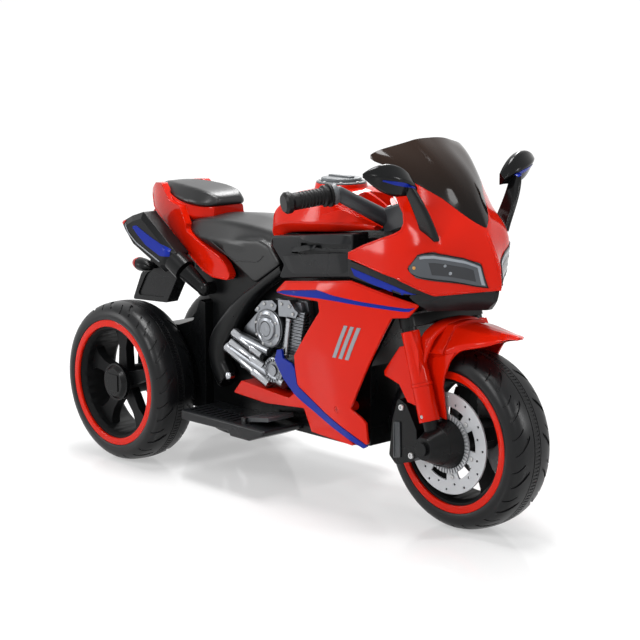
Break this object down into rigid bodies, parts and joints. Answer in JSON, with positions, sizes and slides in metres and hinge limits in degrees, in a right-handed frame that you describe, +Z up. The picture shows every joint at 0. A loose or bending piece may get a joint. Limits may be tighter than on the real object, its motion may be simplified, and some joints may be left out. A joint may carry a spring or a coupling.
{
  "type": "kids electric motorbike",
  "caption": "Battery ride-on motorbike for a child: steered front wheel, driven rear wheels on an axle, red fairing, smoked screen, handlebar, seat, footrests and pedal switch.",
  "frame": {"origin": "on the ground, midway along the bike's length and width", "axes": "+X forward, +Y to the rider's left, +Z up"},
  "size_m": [1, 0.3986, 0.6181],
  "materials": {
    "red_gloss_abs": "glossy moulded ABS",
    "blue_gloss_abs": "glossy moulded ABS",
    "charcoal_satin_pp": "satin moulded polypropylene",
    "black_seat_moulding": "fine-grained moulding",
    "black_tyre": "hard moulded tread",
    "black_rim_pp": "satin moulded polypropylene",
    "black_grip_rubber": "soft matte",
    "silver_metallic_abs": "silver metallic paint on ABS",
    "light_grey_pp": "satin grey moulding",
    "smoked_polycarbonate": "smoked transparent sheet",
    "tinted_lens": "tinted transparent moulding",
    "red_lens": "red moulding",
    "button_plastic": "grey moulding",
    "mirror_film": "silvered film",
    "zinc_plated_steel": "zinc plated",
    "acetal_bush": "natural acetal",
    "battery_case": "moulded case",
    "socket_plastic": "moulded socket"
  },
  "bodies": {
    "bike_body": {"battery": "battery_case", "belly_panels": "red_gloss_abs", "charge_socket": "socket_plastic", "chassis_left": "charcoal_satin_pp", "chassis_right": "charcoal_satin_pp", "control_box": "charcoal_satin_pp", "dash_panel": "charcoal_satin_pp", "engine_covers": "silver_metallic_abs", "exhausts": "charcoal_satin_pp", "fairing_screws": "zinc_plated_steel", "footrests": "charcoal_satin_pp", "frame_spars": "charcoal_satin_pp", "gear_motors": "charcoal_satin_pp", "headlight_bowls": "charcoal_satin_pp", "headlight_lenses": "tinted_lens", "indicators": "charcoal_satin_pp", "mirror_glasses": "mirror_film", "mirrors": "charcoal_satin_pp", "nose_fairing": "red_gloss_abs", "nose_undertray": "charcoal_satin_pp", "pillion_pad": "black_seat_moulding", "rear_axle": "zinc_plated_steel", "rear_axle_housing": "charcoal_satin_pp", "seat": "black_seat_moulding", "side_blades": "blue_gloss_abs", "side_covers": "charcoal_satin_pp", "side_fairing_left": "red_gloss_abs", "side_fairing_right": "red_gloss_abs", "steering_bushes": "acetal_bush", "tail_cowl": "red_gloss_abs", "tail_frame": "charcoal_satin_pp", "tail_lamp": "red_lens", "tank": "red_gloss_abs", "tank_cap": "charcoal_satin_pp", "windscreen": "smoked_polycarbonate"},
    "steering": {"fork": "charcoal_satin_pp", "fork_covers": "red_gloss_abs", "front_axle": "zinc_plated_steel", "hub_covers": "charcoal_satin_pp", "brake_calipers": "charcoal_satin_pp", "front_mudguard": "red_gloss_abs", "steering_stem": "zinc_plated_steel", "handlebar": "charcoal_satin_pp", "grips": "black_grip_rubber"},
    "front_wheel": {"front_tyre": "black_tyre", "front_rim": "black_rim_pp", "front_trim_rings": "red_gloss_abs", "brake_discs": "light_grey_pp"},
    "rear_right_wheel": {"rear_right_tyre": "black_tyre", "rear_right_rim": "black_rim_pp", "rear_right_trim_ring": "red_gloss_abs", "rear_right_hub_cap": "black_rim_pp"},
    "rear_left_wheel": {"rear_left_tyre": "black_tyre", "rear_left_rim": "black_rim_pp", "rear_left_trim_ring": "red_gloss_abs", "rear_left_hub_cap": "black_rim_pp"},
    "accelerator": {"accelerator_pedal": "charcoal_satin_pp"},
    "horn": {"horn_button": "button_plastic"},
    "music": {"music_button": "button_plastic"},
    "power": {"power_switch": "red_lens"}
  },
  "joints": [
    {"name": "steering_turn", "type": "hinge", "parent": "bike_body", "child": "steering", "pos_m": [0.355, 0, 0.145], "axis": [-0.309, 0, 0.9511], "range_deg": [-20, 20]},
    {"name": "front_wheel_spin", "type": "hinge", "parent": "steering", "child": "front_wheel", "pos_m": [0.355, 0, 0.145], "axis": [0, 1, 0], "continuous": true},
    {"name": "rear_right_wheel_spin", "type": "hinge", "parent": "bike_body", "child": "rear_right_wheel", "pos_m": [-0.355, -0.13, 0.145], "axis": [0, 1, 0], "continuous": true},
    {"name": "rear_left_wheel_spin", "type": "hinge", "parent": "bike_body", "child": "rear_left_wheel", "pos_m": [-0.355, 0.13, 0.145], "axis": [0, 1, 0], "continuous": true},
    {"name": "accelerator_press", "type": "hinge", "parent": "bike_body", "child": "accelerator", "pos_m": [-0.034, -0.103, 0.127], "axis": [0, 1, 0], "range_deg": [0, 8], "stiffness_Nm_per_rad": 2, "springref_deg": -2.86},
    {"name": "horn_press", "type": "slide", "parent": "bike_body", "child": "horn", "axis": [0.6794, 0, -0.7338], "range_m": [0, 0.002], "stiffness_N_per_m": 300, "springref_m": -0.0005},
    {"name": "music_press", "type": "slide", "parent": "bike_body", "child": "music", "axis": [0.6794, 0, -0.7338], "range_m": [0, 0.002], "stiffness_N_per_m": 300, "springref_m": -0.0005},
    {"name": "power_rock", "type": "hinge", "parent": "bike_body", "child": "power", "pos_m": [0.32386, 0, 0.51403], "axis": [0, 1, 0], "range_deg": [-10, 10]}
  ]
}
